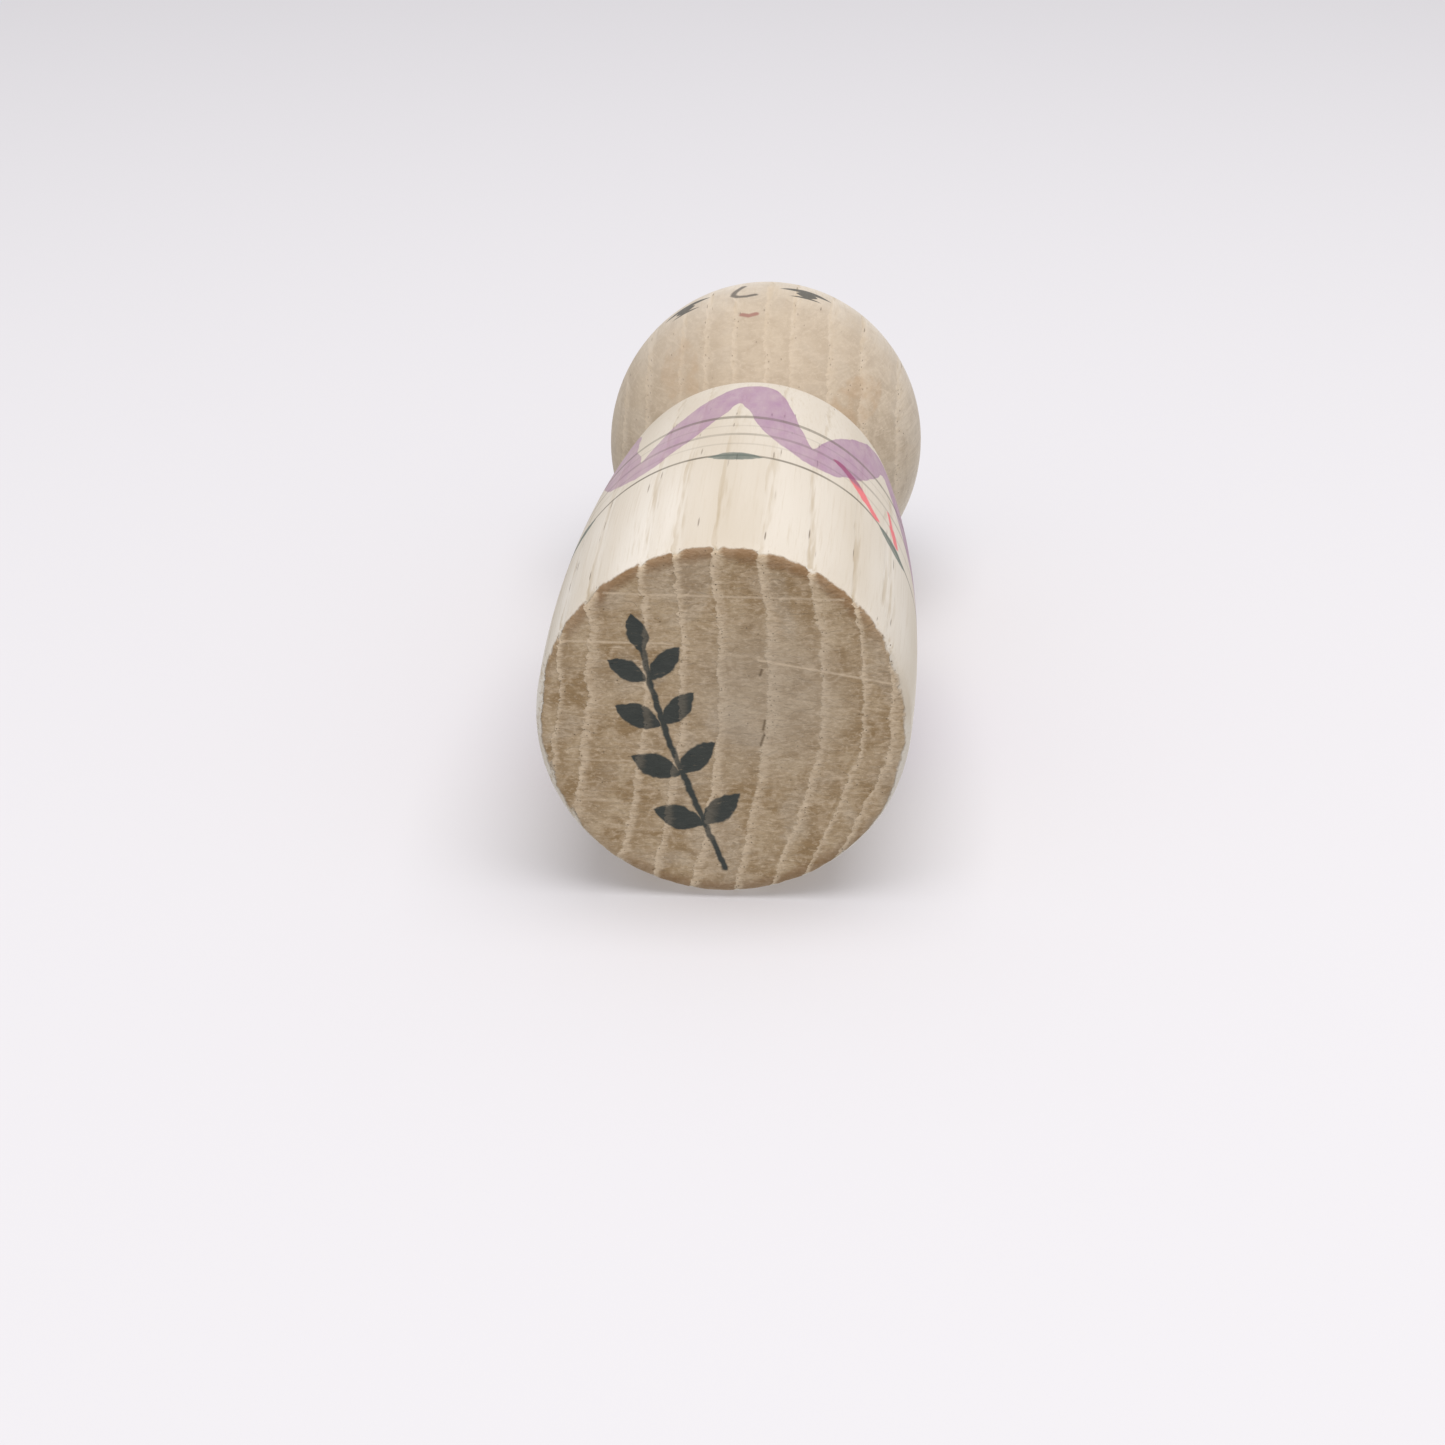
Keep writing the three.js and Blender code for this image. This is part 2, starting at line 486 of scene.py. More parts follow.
class Wood(Finish):
    """Pale ring-porous wood. Its year rings run through the whole piece, along the doll's axis."""

    def __init__(self, name, billet, years, bend):
        super().__init__(name)
        turn, self.seed = billet
        self.across, back, _ = self.parts(self.turned(self.place, turn))
        self.along = self.calc("MULTIPLY", back, -1)
        self.grow_rings(years, bend)
        self.grow_fibres()

    def grain_place(self, stretch):
        """The place in the billet, with everything drawn out along the grain."""
        shift = (self.seed, 2 * self.seed, 3 * self.seed)
        return self.turned(self.place, 0, (1, 1, 1 / stretch), shift)

    def ray_place(self, stretch):
        """The place in the billet, drawn out across the rings as well as along the grain."""
        drawn = self.add("ShaderNodeCombineXYZ")
        self.feed(drawn.inputs[0], self.calc("MULTIPLY", self.across, 1 / stretch))
        self.feed(drawn.inputs[1], self.along)
        self.feed(drawn.inputs[2], self.calc("MULTIPLY", self.height, 1 / 20))
        return drawn.outputs[0]

    def straightened(self, bend):
        """How far across the billet each point would be if the rings were straight and even."""
        bend_at, bend_shift, curl, curl_growth = bend
        middle = self.calc("MULTIPLY_ADD", self.across, bend_shift, bend_at)
        above = self.calc("SUBTRACT", self.along, middle)
        sharpness = self.calc("MULTIPLY_ADD", self.calc("MAXIMUM", self.across, 0), curl_growth, curl)
        straighter_above = self.rest(self.product(self.fade(above, -2, 4), 0.5))
        curled = self.product(self.calc("POWER", above, 2), sharpness, straighter_above)
        wander = self.around(self.cloud(self.grain_place(9), 0.13, 1), 0.7)
        wavy = self.around(self.cloud(self.grain_place(14), 0.42, 2), 0.5)
        teeth = self.around(self.cloud(self.ray_place(3), 2.2, 2, 0.6), 0.5)
        return self.total(self.across, curled, wander, wavy, teeth)

    def grow_rings(self, years, bend):
        """The early and late wood. A year's growth runs from 0, its line of large pores, to 1."""
        starts = [(at, i) for i, at in enumerate(years)]
        year = self.calc("FRACT", self.curve(self.straightened(bend), starts, True))
        self.porous = self.highest(self.fade(year, 0.96, 1.0), self.fade(year, 0.26, 0.08))
        self.first_pores = self.highest(self.fade(year, 0.97, 1.0), self.fade(year, 0.1, 0.03))
        after_line = self.product(self.fade(year, 0.12, 0.24), self.fade(year, 0.8, 0.3))
        before_line = self.product(self.fade(year, 0.3, 0.8), self.fade(year, 0.99, 0.95))
        right = self.fade(self.across, -4, 4)
        left = self.rest(right)
        self.late = self.total(self.product(after_line, left), self.product(before_line, right))
        # A narrow band beside each ring line, darkened in end_colour as painted shadow of the raised
        # ring line
        self.shadow_beside_line = self.total(
            self.product(self.inside(year, 0.13, 0.2, 0.04), left),
            self.product(self.inside(year, 0.84, 0.93, 0.04), right),
        )

    def grow_fibres(self):
        self.fibre = self.cloud(self.grain_place(45), 3.2, 3, 0.65)
        self.broad = self.cloud(self.grain_place(6), 0.09, 2)
        distance, number = self.cells(self.grain_place(22), 2.6)
        early = self.product(self.porous, self.fade(number[0], 0.45, 0.6))
        strays = self.fade(number[1], 0.97, 0.98)
        self.pores = self.product(self.fade(distance, 0.26, 0.1), self.highest(early, strays))

    def side_colour(self):
        """The long grain: pale, with tan fibres, broken streaks and open pores."""
        base = self.blend(self.fade(self.broad, 0.35, 0.8), SIDE_PALE, SIDE_TAN)
        base = self.coat(base, SIDE_TAN, self.late, 0.25)
        base = self.coat(base, SIDE_TAN, self.fade(self.fibre, 0.48, 0.75), 0.6)
        streak = self.fade(self.cloud(self.grain_place(22), 1.5, 2, 0.6), 0.45, 0.66)
        here = self.fade(self.cloud(self.grain_place(12), 0.5, 1), 0.35, 0.65)
        base = self.coat(base, SIDE_STREAK, self.first_pores, here, 0.34)
        base = self.coat(base, SIDE_STREAK, self.porous, streak, 0.5)
        return self.coat(base, PORE_BROWN, self.pores, 0.72)

    def end_colour(self):
        """Sawn end grain: pale rings, mottled late wood, and rays that cross the rings."""
        grain = self.grain_place(1)
        mottle = self.cloud(grain, 0.3, 3, 0.6, 0.4)
        base = self.blend(self.fade(mottle, 0.35, 0.66), END_MIDDLE, END_DARK)
        uneven = self.fade(self.cloud(self.grain_place(2), 0.12, 1), 0.35, 0.6)
        base = self.coat(base, END_DARK, self.late, uneven, 0.75)
        # Painted shadow beside each raised ring line
        base = self.coat(base, END_DARK, self.shadow_beside_line, 0.45)
        greyed = self.fade(self.cloud(grain, 0.17, 1, 0.5, 0.5), 0.48, 0.66)
        base = self.coat(base, END_GREY, greyed, 0.4)
        wave = self.off(self.cloud(grain, 0.32, 1, 0.4, 0.3), 0.5)
        base = self.coat(base, END_PALE, self.fade(wave, 0.1, 0.0), self.fade(mottle, 0.4, 0.6), 0.35)
        base = self.coat(base, END_PALE, self.porous, 0.5)
        broken = self.fade(self.cloud(grain, 0.9, 2), 0.3, 0.6)
        base = self.coat(base, END_PALE, self.first_pores, broken, 0.75)
        woolly = self.cloud(grain, 2.2, 3, 0.7)
        base = self.coat(base, END_PALE, self.fade(woolly, 0.5, 0.72), 0.45)
        base = self.coat(base, END_DARK, self.fade(woolly, 0.5, 0.28), 0.4)
        rays = self.cloud(self.ray_place(3), 2.0, 3, 0.6, 1.2)
        base = self.coat(base, END_PALE, self.fade(rays, 0.5, 0.7), 0.42)
        base = self.coat(base, END_DARK, self.fade(rays, 0.5, 0.3), 0.42)
        return self.coat(base, PORE_BROWN, self.pores, 0.7)

    def relief(self):
        """The fibres and the late wood stand a little proud, and the pores are open."""
        grain = self.calc("MULTIPLY", self.fibre, GRAIN_RELIEF)
        ring = self.calc("MULTIPLY", self.porous, -GRAIN_RELIEF)
        pits = self.calc("MULTIPLY", self.pores, -PORE_DEPTH)
        return self.total(grain, ring, pits)


# ---------------------------------------------------------------- the body's paint

WAVE_PURPLE = tint(156, 110, 148)
WAVE_DEEP = tint(126, 80, 124)
LAVENDER = tint(190, 165, 196)
LINE_GREY = tint(92, 82, 64)
LEAF_GREEN = tint(84, 98, 90)
STROKE_RED = tint(230, 84, 98)
STROKE_MAGENTA = tint(146, 48, 98)

# The pattern is measured in degrees round from the crest of a wave, and height in mm.
# A degree round the side is about this many mm.
MM_PER_DEGREE = 0.355

# The thin lines that a brush left while the body turned: height, half width and strength
TURNED_LINES = (
    (28.8, 0.33, 0.9), (33.4, 0.3, 0.2), (37.4, 0.45, 0.42), (41.2, 0.3, 0.2), (45.3, 0.6, 0.68),
)

# The wave's two edges, from one low point to the next
WAVE_LOWER = (
    (-33, 30.5), (-25, 31.2), (-21, 33.7), (-13.5, 38), (-8, 43.5), (-4, 48), (-1, 51.6), (0.5, 52.2),
    (2, 50.6), (4.5, 47), (8.7, 40.8), (13.5, 36.3), (18, 33.9), (23, 31.8), (27, 30.5),
)
WAVE_UPPER = (
    (-33, 37.4), (-29, 41.4), (-25, 46.3), (-18, 52.2), (-10, 58.4), (-4, 61.6), (4, 63.4), (10, 62.9),
    (15, 59.6), (18, 55.2), (20, 50.2), (21.3, 46.4), (24.3, 42), (27, 37.4),
)
WAVE_END = WAVE_LOWER[-1][0]

# The leaf on the lowest line under each crest
LEAF_MIDDLE = (2, 28.5)
LEAF_ANGLE = -2
LEAF_HALF_LENGTH = 3.1
LEAF_HALF_WIDTH = 1.5

# On the doll's left the lowest line and its leaf sag by this much
LINE_SAG = 2.6

# Two red strokes after every third wave: points along them, and half their width at each run
LONG_STROKE = ((36.5, 37.6, 0.75), (41.7, 35.1, 0.85), (47.3, 31.1, 0.7), (51.8, 29.0, 0))
SHORT_STROKE = ((59.3, 37.0, 0.35), (61, 32.6, 0.65), (63.6, 28.8, 0))

# The strokes repeat at this spacing, and the stretch that holds a pair ends at this many degrees
RED_SPACING = 3 * WAVE_SPACING
RED_END = 100

# One watery stroke trails down each flank: its middle in degrees round the doll, and height
TRAILS = (((84, 38), (89, 31), (95, 24), (101, 15)), ((-139, 48), (-146, 37), (-150, 27), (-151, 18)))
TRAIL_HALF_WIDTH = 1.5


def painted_body_wood():
    """The body's wood with its painted sides, and the sawn foot with its inked sprig."""
    wood = Wood("painted_body_wood", BODY_BILLET, BODY_YEARS, BODY_BEND)
    # Painted shade: the side darkens from the foot upwards, standing in for the light falling off up
    # the body
    shaded_up_the_side = wood.coat(wood.side_colour(), SIDE_TAN, wood.fade(wood.height, 6, 36), 0.45)
    side = paint_side(wood, shaded_up_the_side)
    shoulder = wood.blend(0.45, wood.end_colour(), SIDE_TAN)
    colour = wood.coat(side, shoulder, wood.fade(wood.height, 63, 76), 0.6)
    on_foot = foot_share(wood)
    colour = wood.blend(on_foot, colour, paint_foot(wood))
    roughness = wood.calc("MULTIPLY_ADD", wood.fibre, 0.25, 0.5)
    relief = wood.total(wood.relief(), wood.product(saw_relief(wood), on_foot))
    return wood.finish(colour, roughness, relief)


def paint_side(wood, colour):
    """The whole pattern, put down by a hand that is never quite steady."""
    hand = wood.around(wood.cloud(wood.place, 0.08, 1), 3)
    shake = wood.around(wood.cloud(wood.place, 0.35, 3, 0.6), 0.8)
    from_crest = wood.total(wood.azimuth, hand, -WAVE_AZIMUTH)
    height = wood.total(wood.height, shake)
    angle = wood.calc("WRAP", from_crest, WAVE_END, WAVE_END - WAVE_SPACING)
    colour = paint_waves(wood, colour, angle, height)
    colour = paint_turned_lines(wood, colour)
    colour = paint_leaves(wood, colour, angle, height)
    angle = wood.calc("WRAP", from_crest, RED_END, RED_END - RED_SPACING)
    colour = paint_red_strokes(wood, colour, angle, height)
    return paint_trails(wood, colour)


def paint_waves(wood, colour, angle, height):
    """A wide watery band with darker edges where the paint pooled."""
    over = wood.calc("SUBTRACT", height, wood.curve(angle, WAVE_LOWER))
    under = wood.calc("SUBTRACT", wood.curve(angle, WAVE_UPPER), height)
    depth = wood.calc("MINIMUM", over, under)
    brushed = wood.cloud(wood.turned(wood.place, 0, (1, 1, 0.3)), 0.7, 3, 0.6)
    thinner = wood.product(wood.fade(wood.azimuth, 5, -30), 0.12)
    watery = wood.calc("SUBTRACT", wood.calc("MULTIPLY_ADD", brushed, 0.5, 0.46), thinner)
    purple = wood.coat(WAVE_PURPLE, WAVE_DEEP, wood.inside(depth, 0.1, 0.7, 0.4), 0.3)
    return wood.coat(colour, purple, wood.fade(depth, -0.15, 0.4), watery)


def line_sag(wood):
    """How much lower the lowest line runs here."""
    flank = wood.inside(wood.azimuth, 60, 100, 16)
    return wood.product(flank, wood.fade(wood.height, 36, 30), LINE_SAG)


def paint_turned_lines(wood, colour):
    wobble = wood.around(wood.cloud(wood.place, 0.05, 1), 0.35)
    height = wood.total(wood.height, wobble, line_sag(wood))
    patchy = wood.calc("MULTIPLY_ADD", wood.cloud(wood.place, 0.25, 3), 0.9, 0.35)
    soft = 0.12
    for line_height, half_width, strength in TURNED_LINES:
        line = wood.fade(wood.off(height, line_height), half_width + soft, half_width - soft)
        colour = wood.coat(colour, LINE_GREY, line, patchy, strength)
    return colour


def paint_leaves(wood, colour, angle, height):
    sagged = wood.total(height, line_sag(wood))
    drawing = wood.flat(wood.calc("MULTIPLY", angle, MM_PER_DEGREE), sagged)
    middle = (LEAF_MIDDLE[0] * MM_PER_DEGREE, LEAF_MIDDLE[1])
    leaf = wood.leaf(drawing, middle, LEAF_ANGLE, LEAF_HALF_LENGTH, LEAF_HALF_WIDTH)
    thick = wood.calc("MULTIPLY_ADD", wood.cloud(wood.place, 0.9, 2), 0.4, 0.6)
    return wood.coat(colour, LEAF_GREEN, leaf, thick)


def paint_red_strokes(wood, colour, angle, height):
    """Red on the bare wood, and magenta where the strokes start on the purple."""
    drawing = wood.flat(wood.calc("MULTIPLY", angle, MM_PER_DEGREE), height)
    on_purple = wood.product(wood.fade(wood.height, 33.2, 34.8), wood.fade(angle, 54, 50))
    red = wood.blend(on_purple, STROKE_RED, STROKE_MAGENTA)
    for points in (LONG_STROKE, SHORT_STROKE):
        spots = [(around * MM_PER_DEGREE, up) for around, up, _ in points]
        runs = [
            wood.stroke(drawing, start, end, point[2], 0.2)
            for start, end, point in zip(spots, spots[1:], points)
        ]
        colour = wood.coat(colour, red, wood.highest(*runs), 0.82)
    return colour


def paint_trails(wood, colour):
    """Thin lavender that fades as each stroke runs dry on its way down."""
    drawing = wood.flat(wood.calc("MULTIPLY", wood.azimuth, MM_PER_DEGREE), wood.height)
    for points in TRAILS:
        spots = [(around * MM_PER_DEGREE, up) for around, up in points]
        trail = wood.strokes(drawing, spots, TRAIL_HALF_WIDTH, 0.6)
        top, foot = points[0][1], points[-1][1] - 2
        thin = wood.calc("MULTIPLY_ADD", wood.fade(wood.height, foot, top), 0.3, 0.25)
        colour = wood.coat(colour, LAVENDER, trail, thin, method="DARKEN")
    return colour


# ---------------------------------------------------------------- the foot

FOOT_INK = tint(34, 46, 46)
# The brown of the foot's front edge, also used as painted contact shade along its back edge
EDGE_BROWN_AND_SHADE = tint(128, 92, 54)
SAWN_RADIUS = 19.0

# The middle of the greyed wood, across and along the foot, and how far from it the grey ends
# and is at its full strength
GREY_MIDDLE = (5, 3)
GREY_REACH = (12, 3)

# A sprig brushed in ink: its stem, and the middle, angle, half length and half width of its leaves
STEM_HALF_WIDTH = 0.34
SPRIG_STEM = ((-8.3, 9.2), (-7.4, 4.2), (-5.8, -1.8), (-3.4, -8.4), (-0.2, -16.8))
SPRIG_LEAVES = (
    (-8.7, 10.4, 106, 2.4, 1.15), (-9.9, 6.2, 150, 2.4, 1.15), (-5.9, 7.0, 48, 2.5, 1.2),
    (-8.9, 1.0, 154, 2.7, 1.35), (-4.7, 1.8, 44, 2.6, 1.25), (-7.2, -4.8, 158, 2.9, 1.4),
    (-2.9, -3.9, 42, 2.8, 1.3), (-5.0, -10.8, 162, 2.9, 1.4), (-0.5, -9.9, 40, 2.8, 1.35),
)

# Marks that the saw left: start, end and strength
SAW_MARK_HALF_WIDTH = 0.12
SAW_MARKS = (
    ((-12, 14.9), (13, 14.0), 0.5), ((-17.5, 9.6), (-5, 9.2), 0.6), ((4, 7.3), (19.5, 4.3), 0.7),
    ((-17, -4.0), (-10, -4.2), 0.4), ((-16, -8.7), (-11, -8.9), 0.4), ((-6, 8.9), (4, 7.6), 0.25),
)

# Deep dark pores near the middle
DARK_PORE_HALF_WIDTH = 0.13
DARK_PORES = (((4.5, 0.4), (4.3, -0.6)), ((4.4, -1.2), (4.0, -2.4)), ((4.3, 6.2), (4.1, 5.6)))


def foot_share(wood):
    """1 on the sawn foot. Its brown runs out over the front of the edge, and stops short elsewhere."""
    ragged = wood.around(wood.cloud(wood.place, 0.65, 3, 0.6), 0.7)
    out = wood.total(wood.radius, wood.height, ragged, -SAWN_RADIUS)
    flank = wood.fade(wood.off(wood.calc("ABSOLUTE", wood.azimuth), 95), 45, 15)
    limit = wood.calc("MULTIPLY_ADD", flank, -0.8, 1.25)
    limit = wood.calc("SUBTRACT", limit, wood.product(wood.porous, 0.4))
    return wood.fade(wood.calc("SUBTRACT", out, limit), 0.25, -0.25)


def paint_foot(wood):
    """The sawn end, greyed in its middle, brown at its front edge and darkened by painted contact
    shade at its back edge, with its saw marks and its sprig.
    """
    drawing = wood.flat(wood.across, wood.along)
    from_middle = wood.length(
        wood.off(wood.across, GREY_MIDDLE[0]), wood.off(wood.along, GREY_MIDDLE[1]),
    )
    colour = wood.coat(wood.end_colour(), END_GREY, wood.fade(from_middle, *GREY_REACH), 0.45)
    # Brown edge at the front, and painted contact shade along the back edge
    colour = wood.coat(colour, EDGE_BROWN_AND_SHADE, edge_brown_and_contact_shade(wood))
    for start, end, strength in SAW_MARKS:
        mark = wood.stroke(drawing, start, end, SAW_MARK_HALF_WIDTH, 0.1)
        colour = wood.coat(colour, END_PALE, mark, strength)
    for start, end in DARK_PORES:
        pore = wood.stroke(drawing, start, end, DARK_PORE_HALF_WIDTH, 0.12)
        colour = wood.coat(colour, PORE_BROWN, pore, 0.8)
    return ink_sprig(wood, colour, drawing)


def edge_brown_and_contact_shade(wood):
    """A dark brown edge at the front, painted contact shade along the edge at the back where the doll
    lies on the table, and a little brown soaked in at the front.
    """
    front = wood.fade(wood.off(wood.azimuth, 4), 78, 40)
    # Painted contact shade along the back edge, where the doll lies on the table
    back = wood.product(wood.fade(wood.calc("ABSOLUTE", wood.azimuth), 120, 160), 0.8)
    edge = wood.total(wood.radius, wood.around(wood.cloud(wood.place, 0.6, 3, 0.6), 0.9))
    dark_edge_and_contact_shade = wood.product(
        wood.fade(edge, SAWN_RADIUS - 1, SAWN_RADIUS + 0.1),
        wood.highest(front, back),
        wood.rest(wood.porous),
    )
    soaked = wood.product(wood.fade(wood.radius, SAWN_RADIUS - 6, SAWN_RADIUS), front, wood.late)
    return wood.highest(wood.product(dark_edge_and_contact_shade, 0.7), wood.product(soaked, 0.12))


def ink_sprig(wood, colour, drawing):
    """A stem and its leaves, drier where the brush ran out, with the rings showing through."""
    surface = wood.shaken(drawing, 0.9, 0.3)
    stem = wood.strokes(surface, SPRIG_STEM, STEM_HALF_WIDTH, 0.14)
    leaves = [
        wood.leaf(surface, (right, up), angle, half_length, half_width)
        for right, up, angle, half_length, half_width in SPRIG_LEAVES
    ]
    dry = wood.fade(wood.cloud(wood.ray_place(3), 1.6, 3, 0.7), 0.22, 0.4)
    thick = wood.calc("MULTIPLY_ADD", dry, 0.32, 0.63)
    soaked_in = wood.calc("MULTIPLY_ADD", wood.porous, -0.12, 1)
    return wood.coat(colour, FOOT_INK, wood.highest(stem, *leaves), thick, soaked_in)


def saw_relief(wood):
    """Fine scores across the foot, woolly torn grain, and ring lines that stand up."""
    scores = wood.cloud(wood.ray_place(7), 2.6, 2, 0.6)
    torn = wood.cloud(wood.ray_place(1.6), 1.25, 3, 0.6, 0.8)
    return wood.total(
        wood.calc("MULTIPLY", scores, 0.06),
        wood.calc("MULTIPLY", torn, 0.22),
        wood.product(wood.porous, 0.07),
    )


# ---------------------------------------------------------------- the head's paint

FACE_INK = tint(52, 54, 50)
NOSE_BROWN = tint(74, 68, 62)
MOUTH_BROWN = tint(146, 88, 78)
HAIR_BLACK = tint(30, 28, 30)
HAIR_WORN = tint(66, 60, 58)
STAIN_BROWN = tint(176, 140, 100)
# Painted shade for the lower front of the head, which faces away from the light
LOWER_FRONT_SHADE = tint(180, 161, 138)

# How much end grain shows up the head, by height from its widest line
END_GRAIN = ((-25, 0.9), (-12, 0.8), (0, 0.55), (8, 0.25), (18, 0.3), (25, 0.8))

# The face is measured in mm round from its middle, and up from the head's widest line.
# Each eye is three leaves and its brow a fourth, measured outwards from the eye's middle: middle,
# angle, half length and half width.
EYES_OUT = 8.2
EYE_LEAVES = (
    ((0, 1.5), -3, 3.6, 0.85), ((0.1, 0.1), 0, 1.5, 1.3), ((0, -1.3), 3, 2.2, 0.32),
    ((0.3, 9.2), -5, 3.9, 0.42),
)
EYE_BOW = 0.055
NOSE = ((-0.2, 2.6), (-0.8, 1.1), (-1.3, -0.4), (-1.4, -1.5), (-0.8, -2.2), (0.4, -2.4), (1.5, -2.0))
MOUTH = ((0.0, -7.7), (0.9, -8.1), (1.9, -7.7))
FACE_LINE_HALF_WIDTH = 0.4

# Two faint stains near the neck: place round and height, in mm, and strength
STAINS = ((17.2, -16, 0.35), (-9, -14, 0.25))
STAIN_ANGLE, STAIN_HALF_LENGTH, STAIN_HALF_WIDTH = 80, 7, 3
STAIN_MM_PER_DEGREE = 0.3

# The hair's lower edge: degrees round from the face, and height
HAIR_EDGE = (
    (0, 12.8), (10, 13.2), (18, 14.4), (23, 16.6), (27, 19.6), (31, 19.8), (37, 16.6), (44, 14.6),
    (52, 12), (60, 9), (68, 7.2), (75, 6.8), (82, 8.4), (89, 11.6), (110, 12.6), (180, 12.2),
)
BRISTLE_RELIEF = 0.05


def painted_head_wood():
    """The head's wood, tanner towards the neck, with painted shade on its lower front, a drawn face
    and brushed hair.
    """
    wood = Wood("painted_head_wood", HEAD_BILLET, HEAD_YEARS, HEAD_BEND)
    up = wood.calc("SUBTRACT", wood.height, head_middle / MM)
    ends = wood.blend(0.3, wood.end_colour(), SIDE_TAN)
    colour = wood.blend(wood.curve(up, END_GRAIN), wood.side_colour(), ends)
    front = wood.inside(wood.azimuth, -50, 50, 25)
    # Painted shade: the front of the head darkens towards the neck
    colour = wood.coat(colour, LOWER_FRONT_SHADE, wood.fade(up, 6, -12), front, 0.4)
    from_face = wood.calc("SUBTRACT", wood.azimuth, FACE_AZIMUTH)
    colour = stain_head(wood, colour, from_face, up)
    colour = draw_face(wood, colour, from_face, up)
    colour, hair, hair_relief = brush_hair(wood, colour, from_face, up)
    roughness = wood.calc("MULTIPLY_ADD", wood.fibre, 0.25, 0.46)
    roughness = wood.calc("SUBTRACT", roughness, wood.product(hair, 0.16))
    return wood.finish(colour, roughness, wood.total(wood.relief(), hair_relief))


def stain_head(wood, colour, from_face, up):
    drawing = wood.flat(wood.calc("MULTIPLY", from_face, STAIN_MM_PER_DEGREE), up)
    patchy = wood.fade(wood.cloud(wood.place, 0.5, 3), 0.3, 0.7)
    for right, height, strength in STAINS:
        middle = (right, height)
        stain = wood.leaf(drawing, middle, STAIN_ANGLE, STAIN_HALF_LENGTH, STAIN_HALF_WIDTH)
        colour = wood.coat(colour, STAIN_BROWN, stain, patchy, strength)
    return colour


def draw_face(wood, colour, from_face, up):
    """Two eyes under bowed brows, a bent nose line and a small mouth."""
    right = wood.calc("MULTIPLY", from_face, math.radians(1) * head_radius / MM)
    up = wood.total(up, wood.around(wood.cloud(wood.place, 0.25, 0), 0.1))
    out = wood.calc("SUBTRACT", wood.calc("ABSOLUTE", right), EYES_OUT)
    bow = wood.calc("MULTIPLY", wood.calc("POWER", out, 2), EYE_BOW)
    bowed = wood.flat(out, wood.total(up, bow))
    ink = wood.highest(*[wood.leaf(bowed, *leaf) for leaf in EYE_LEAVES])
    colour = wood.coat(colour, FACE_INK, ink, 0.86)
    front = wood.flat(right, up)
    nose = wood.strokes(front, NOSE, FACE_LINE_HALF_WIDTH, 0.2)
    colour = wood.coat(colour, NOSE_BROWN, nose, 0.8)
    mouth = wood.strokes(front, MOUTH, FACE_LINE_HALF_WIDTH, 0.18)
    return wood.coat(colour, MOUTH_BROWN, mouth, 0.75)


def brush_hair(wood, colour, from_face, up):
    """A black crown with a fringe, two side locks, and edges that break into brush strands."""
    off_face = wood.calc("ABSOLUTE", wood.calc("WRAP", from_face, 180, -180))
    strand = wood.around(wood.cloud(wood.grain_place(40), 1.5, 2, 0.6), 1.1)
    past = wood.calc("SUBTRACT", wood.total(up, strand), wood.curve(off_face, HAIR_EDGE))
    hair = wood.fade(past, -0.1, 0.25)
    bristles = bristle_marks(wood)
    black = wood.coat(HAIR_BLACK, HAIR_WORN, wood.fade(bristles, 0.45, 0.72), 0.6)
    thick = wood.calc("MULTIPLY_ADD", wood.fade(past, 0, 2.5), 0.1, 0.86)
    colour = wood.coat(colour, black, hair, thick)
    return colour, hair, wood.product(bristles, hair, BRISTLE_RELIEF)


def bristle_marks(wood):
    """Streaks that sweep down from the crown on every side."""
    out = wood.calc("MAXIMUM", wood.radius, 0.5)
    sweep = wood.flat(wood.calc("DIVIDE", wood.x, out), wood.calc("DIVIDE", wood.y, out))
    return wood.cloud(sweep, 13, 3, 0.65)


def bare_dowel_wood():
    wood = Wood("bare_dowel_wood", DOWEL_BILLET, HEAD_YEARS, HEAD_BEND)
    roughness = wood.calc("MULTIPLY_ADD", wood.fibre, 0.2, 0.6)
    return wood.finish(wood.side_colour(), roughness, wood.relief())


# ---------------------------------------------------------------- making the doll

body = turn_piece("turned_body", body_profile(), "body", "body")
wear_the_foot_edge(body)
leave_gouge_rings(body, 3 * MM, SHOULDER_HEIGHT)
body.data.materials.append(painted_body_wood())

head = turn_piece("turned_head", head_profile(), "head", "head")
leave_gouge_rings(head, head_seat + 2 * MM, crown_height - 2 * MM)
head.data.materials.append(painted_head_wood())

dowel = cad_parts["neck_dowel"]
dowel_finish = bare_dowel_wood()
for slot in dowel.material_slots:
    slot.material = dowel_finish


# ---------------------------------------------------------------- the studio

PAPER_WHITE = (0.73, 0.712, 0.733, 1)
TABLE_HALF_SIZE = 1.8
TABLE_GAP = 0.03 * MM
FLOOR_HALF_SIZE = 0.5
FLOOR_GAP = 0.05 * MM

AIR_WHITE = (0.93, 0.93, 0.95, 1)
AIR_STRENGTH = 0.7
OVERHEAD_DISTANCE = 0.8
OVERHEAD_SHIFT = Vector((0.08, 0, -0.08))
REAR_PLACE = Vector((0.1, 0.45, 0.7))


def toward(azimuth, elevation=0.0):
    """A unit vector from the doll, by degrees round from its front and above its foot."""
    around, above = math.radians(azimuth), math.radians(elevation)
    return Vector((
        math.sin(around) * math.cos(above),
        -math.cos(around) * math.cos(above),
        math.sin(above),
    ))


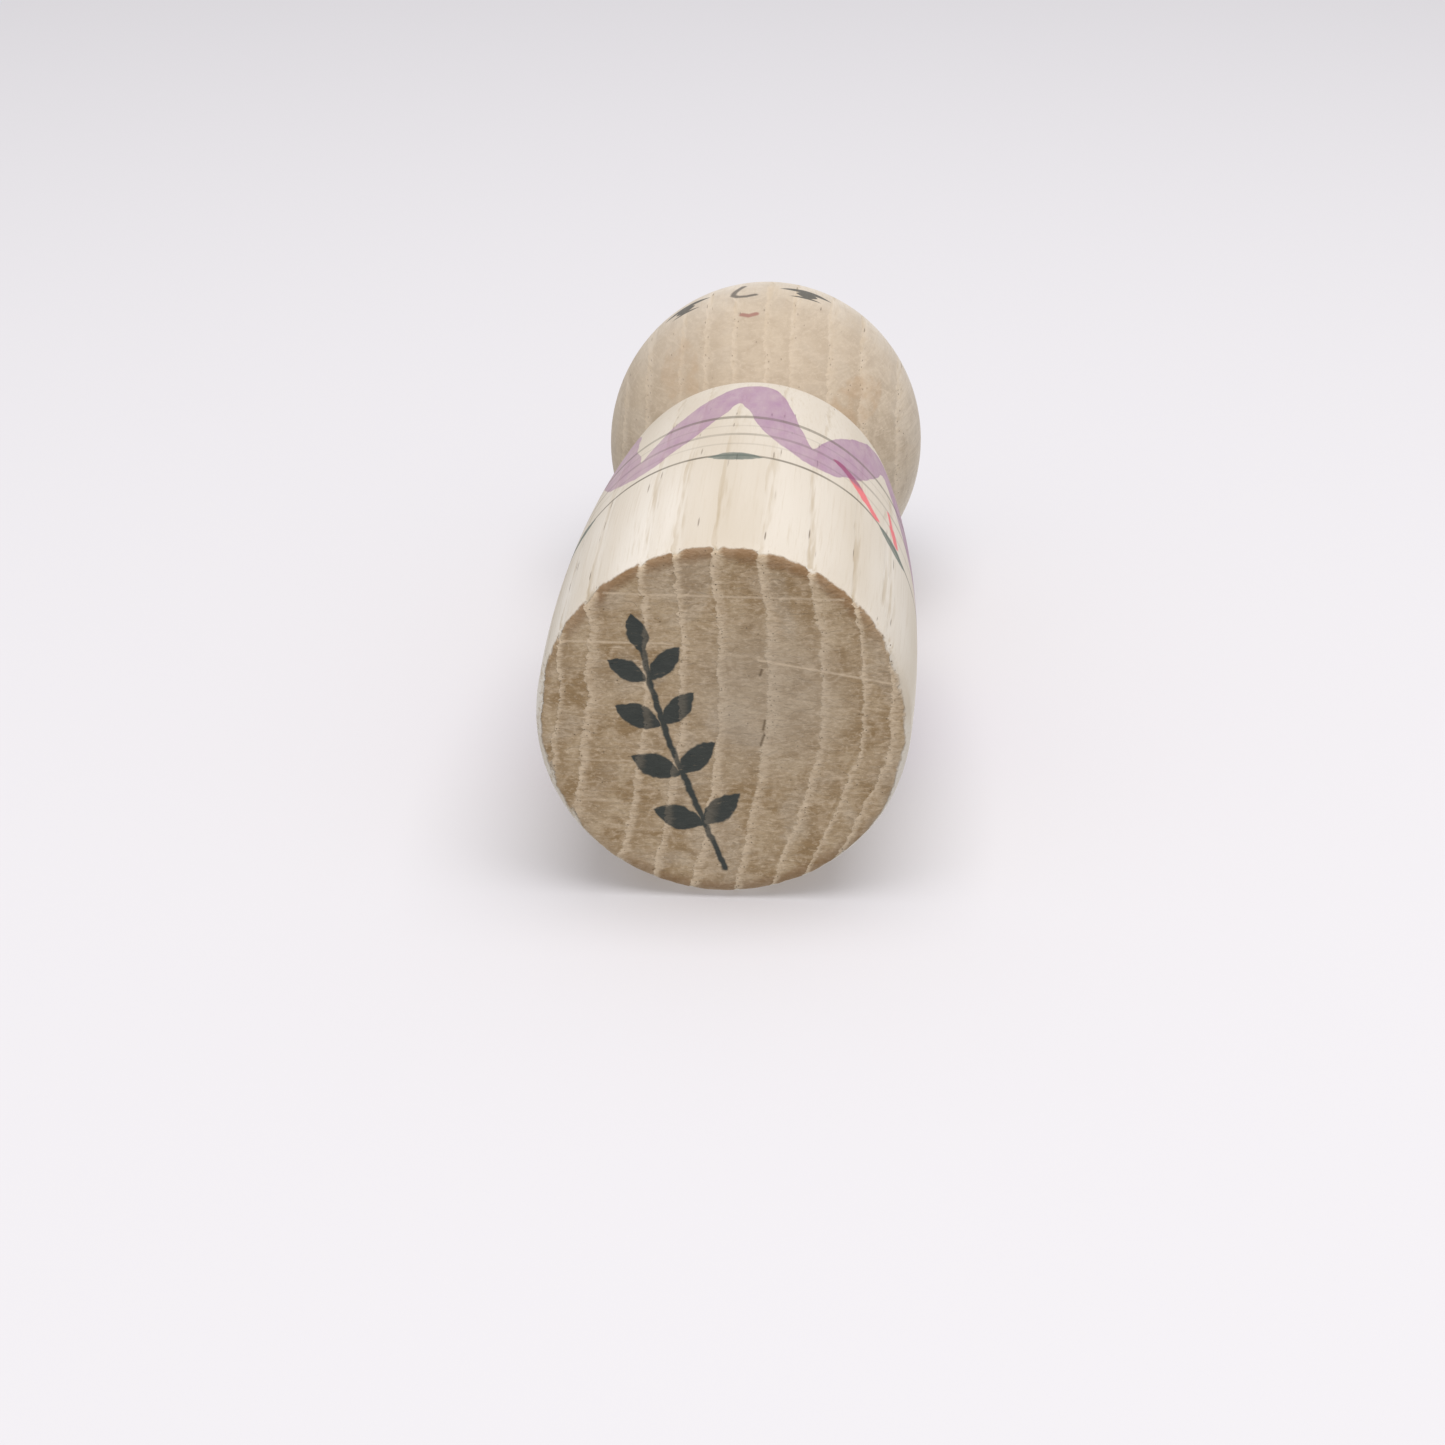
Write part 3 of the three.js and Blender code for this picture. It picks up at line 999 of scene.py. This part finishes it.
def one_sided_paper():
    """White paper seen only from its front, so that nothing behind it is hidden."""
    material = bpy.data.materials.new("studio_paper")
    material.use_nodes = True
    nodes, links = material.node_tree.nodes, material.node_tree.links
    nodes.clear()
    paper = nodes.new("ShaderNodeBsdfDiffuse")
    paper.inputs["Color"].default_value = PAPER_WHITE
    clear = nodes.new("ShaderNodeBsdfTransparent")
    side = nodes.new("ShaderNodeNewGeometry")
    mix = nodes.new("ShaderNodeMixShader")
    output = nodes.new("ShaderNodeOutputMaterial")
    links.new(side.outputs["Backfacing"], mix.inputs[0])
    links.new(paper.outputs[0], mix.inputs[1])
    links.new(clear.outputs[0], mix.inputs[2])
    links.new(mix.outputs[0], output.inputs["Surface"])
    return material


def lay_paper(name, touch, normal, half_size, material):
    """A wide sheet through a point, facing along its normal, that takes shadows and casts none."""
    work = bmesh.new()
    bmesh.ops.create_grid(work, x_segments=1, y_segments=1, size=half_size)
    turn = normal.to_track_quat("Z", "Y").to_matrix().to_4x4()
    bmesh.ops.transform(work, matrix=Matrix.Translation(touch) @ turn, verts=work.verts)
    mesh = bpy.data.meshes.new(name)
    work.to_mesh(mesh)
    work.free()
    mesh.materials.append(material)
    sheet = bpy.data.objects.new(name, mesh)
    bpy.context.collection.objects.link(sheet)
    sheet.visible_shadow = False
    sheet.visible_diffuse = False
    sheet.visible_glossy = False
    sheet.visible_transmission = False


def lay_the_papers():
    """The table that the doll lies on by its belly line and its head, and a floor under its foot."""
    paper = one_sided_paper()
    lean = math.degrees(math.asin((head_radius - belly_radius) / (head_middle - BELLY_HEIGHT)))
    touch = toward(TABLE_AZIMUTH) * -(belly_radius + TABLE_GAP) + Vector((0, 0, BELLY_HEIGHT))
    lay_paper("lying_table", touch, toward(TABLE_AZIMUTH, lean), TABLE_HALF_SIZE, paper)
    lay_paper("standing_floor", Vector((0, 0, -FLOOR_GAP)), Vector((0, 0, 1)), FLOOR_HALF_SIZE, paper)


def hang_softbox(name, place, size, power, colour):
    """A square lamp that faces the middle of the doll."""
    lamp = bpy.data.lights.new(name, "AREA")
    lamp.shape = "SQUARE"
    lamp.size = size
    lamp.energy = power
    lamp.color = colour
    box = bpy.data.objects.new(name, lamp)
    bpy.context.collection.objects.link(box)
    box.location = place
    middle = Vector((0, 0, crown_height / 2))
    box.rotation_mode = "QUATERNION"
    box.rotation_quaternion = (middle - place).to_track_quat("-Z", "Y")


def light_the_studio():
    world = bpy.data.worlds.new("studio_air")
    world.use_nodes = True
    bpy.context.scene.world = world
    air = world.node_tree.nodes["Background"]
    air.inputs["Color"].default_value = AIR_WHITE
    air.inputs["Strength"].default_value = AIR_STRENGTH
    overhead = toward(TABLE_AZIMUTH) * OVERHEAD_DISTANCE + OVERHEAD_SHIFT
    hang_softbox("overhead_softbox", overhead, size=0.8, power=5.5, colour=(1.0, 0.99, 0.98))
    hang_softbox("rear_softbox", REAR_PLACE, size=0.4, power=1.0, colour=(1.0, 1.0, 1.0))


def set_the_camera():
    data = bpy.data.cameras.new("studio_camera")
    data.lens = LENS_MM
    data.sensor_width = SENSOR_MM
    data.clip_start, data.clip_end = 0.01, 10
    camera = bpy.data.objects.new("studio_camera", data)
    bpy.context.collection.objects.link(camera)
    back = toward(VIEW_AZIMUTH, VIEW_ELEVATION)
    roll = Matrix.Rotation(math.radians(VIEW_ROLL), 3, "Z")
    aim = (-back).to_track_quat("-Z", "Y").to_matrix() @ roll
    up = aim @ Vector((0, 1, 0))
    camera.matrix_world = Matrix.Translation(up * AIM_LIFT + back * VIEW_DISTANCE) @ aim.to_4x4()
    bpy.context.scene.camera = camera


lay_the_papers()
light_the_studio()
set_the_camera()
bpy.context.scene.view_settings.view_transform = "Standard"
